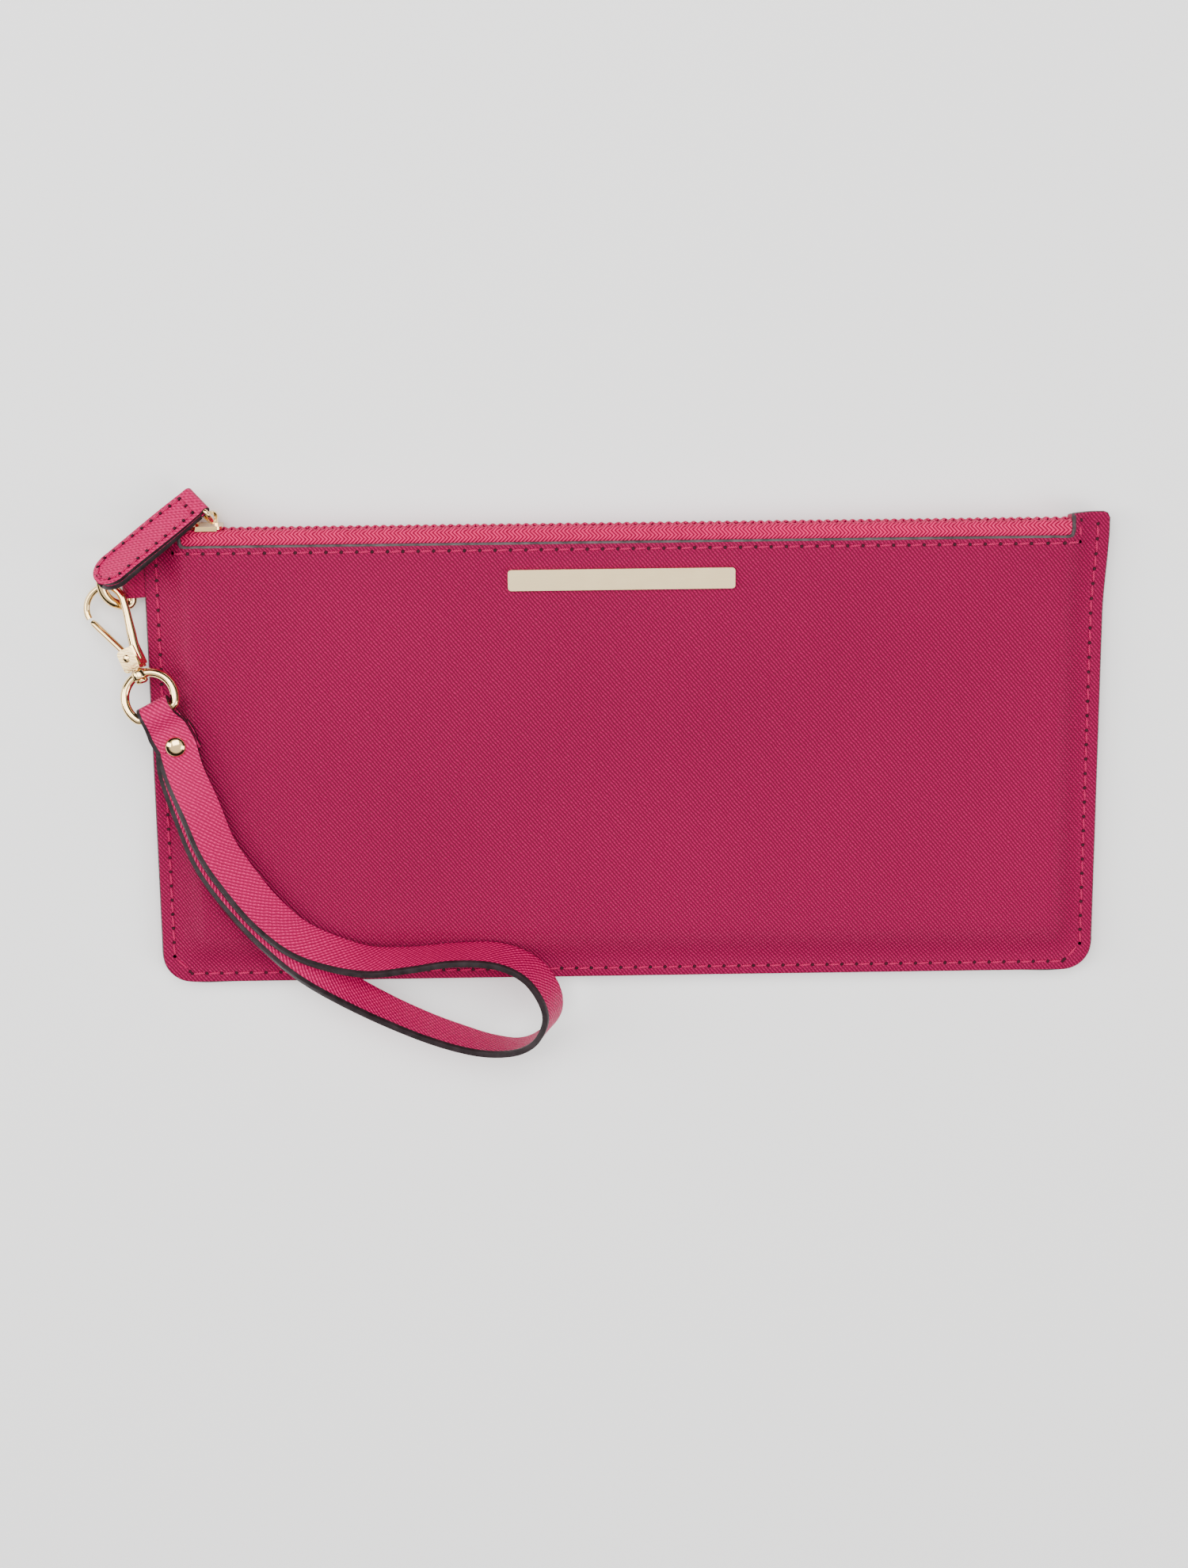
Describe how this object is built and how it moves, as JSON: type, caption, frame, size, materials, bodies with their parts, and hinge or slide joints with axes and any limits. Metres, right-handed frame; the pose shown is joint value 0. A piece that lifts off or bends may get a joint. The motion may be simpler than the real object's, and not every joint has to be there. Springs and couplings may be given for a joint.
{
  "type": "wristlet wallet",
  "caption": "Flat zip wallet in grained leather with a leather puller, a D-ring and a clip-on leather wrist strap.",
  "frame": {"origin": "centre of the back panel's flat face, which rests on the table", "axes": "+X to the right along the zip, +Y towards the zip, +Z out of the front panel"},
  "size_m": [0.2433, 0.1392, 0.0197],
  "materials": {
    "panel_leather": "cross-grain embossed leather, satin",
    "strap_leather": "cross-grain leather with painted edges",
    "puller_leather": "ribbed grain leather with painted edges",
    "zip_cloth": "woven tape",
    "lining_cloth": "plain woven lining",
    "board": "matt stiffening board",
    "zip_teeth": "nylon coil in the colour of the tape",
    "thread": "waxed thread",
    "gold_metal": "polished pale gold plate",
    "spring_steel": "bright drawn wire"
  },
  "bodies": {
    "wallet": {"front_panel": "panel_leather", "back_panel": "panel_leather", "front_board": "board", "back_board": "board", "front_lining": "lining_cloth", "back_lining": "lining_cloth", "card_pocket": "lining_cloth", "zip_tape_front": "zip_cloth", "zip_tape_back": "zip_cloth", "teeth_front": "zip_teeth", "teeth_back": "zip_teeth", "top_stops": "gold_metal", "bottom_stop": "gold_metal", "seam_thread": "thread", "mouth_thread_front": "thread", "mouth_thread_back": "thread", "name_bar": "gold_metal", "bar_washers": "gold_metal", "ring_tab": "strap_leather"},
    "slider": {"zip_slider": "gold_metal"},
    "puller": {"pull_link": "gold_metal", "puller_front": "puller_leather", "puller_back": "puller_leather", "puller_thread": "thread"},
    "tether_ring": {"d_ring": "gold_metal"},
    "hook": {"hook_body": "gold_metal", "gate_pin": "gold_metal", "gate_spring": "spring_steel", "swivel_post": "gold_metal"},
    "gate": {"hook_gate": "gold_metal"},
    "swivel": {"swivel_ring": "gold_metal"},
    "wrist_strap": {"strap": "strap_leather", "rivet_cap": "gold_metal", "rivet_post": "gold_metal"}
  },
  "joints": [
    {"name": "zip_slide", "type": "slide", "parent": "wallet", "child": "slider", "axis": [1, 0, 0], "range_m": [0, 0.198]},
    {"name": "puller_swing", "type": "hinge", "parent": "slider", "child": "puller", "pos_m": [-0.1002, 0.05935, 0.0045], "axis": [-1, 0, 0], "range_deg": [0, 45]},
    {"name": "ring_swing", "type": "hinge", "parent": "wallet", "child": "tether_ring", "pos_m": [-0.118, 0.0437, 0.0045], "axis": [0, -1, 0], "range_deg": [0, 25]},
    {"name": "hook_swing", "type": "hinge", "parent": "tether_ring", "child": "hook", "pos_m": [-0.12217, 0.03847, 0.0071], "axis": [-0.9536, 0, 0.3011], "range_deg": [0, 40]},
    {"name": "gate_open", "type": "hinge", "parent": "hook", "child": "gate", "pos_m": [-0.11841, 0.02546, 0.00965], "axis": [0.406, -0.0615, -0.9118], "range_deg": [0, 20], "stiffness_Nm_per_rad": 0.02, "springref_deg": -5.73},
    {"name": "swivel_turn", "type": "hinge", "parent": "hook", "child": "swivel", "pos_m": [-0.1162, 0.0216, 0.0109], "axis": [0.4101, -0.8794, 0.2419], "range_deg": [0, 12]},
    {"name": "strap_swing", "type": "hinge", "parent": "swivel", "child": "wrist_strap", "pos_m": [-0.1121, 0.01281, 0.01332], "axis": [-0.9063, -0.4226, 0], "range_deg": [0, 90]}
  ]
}
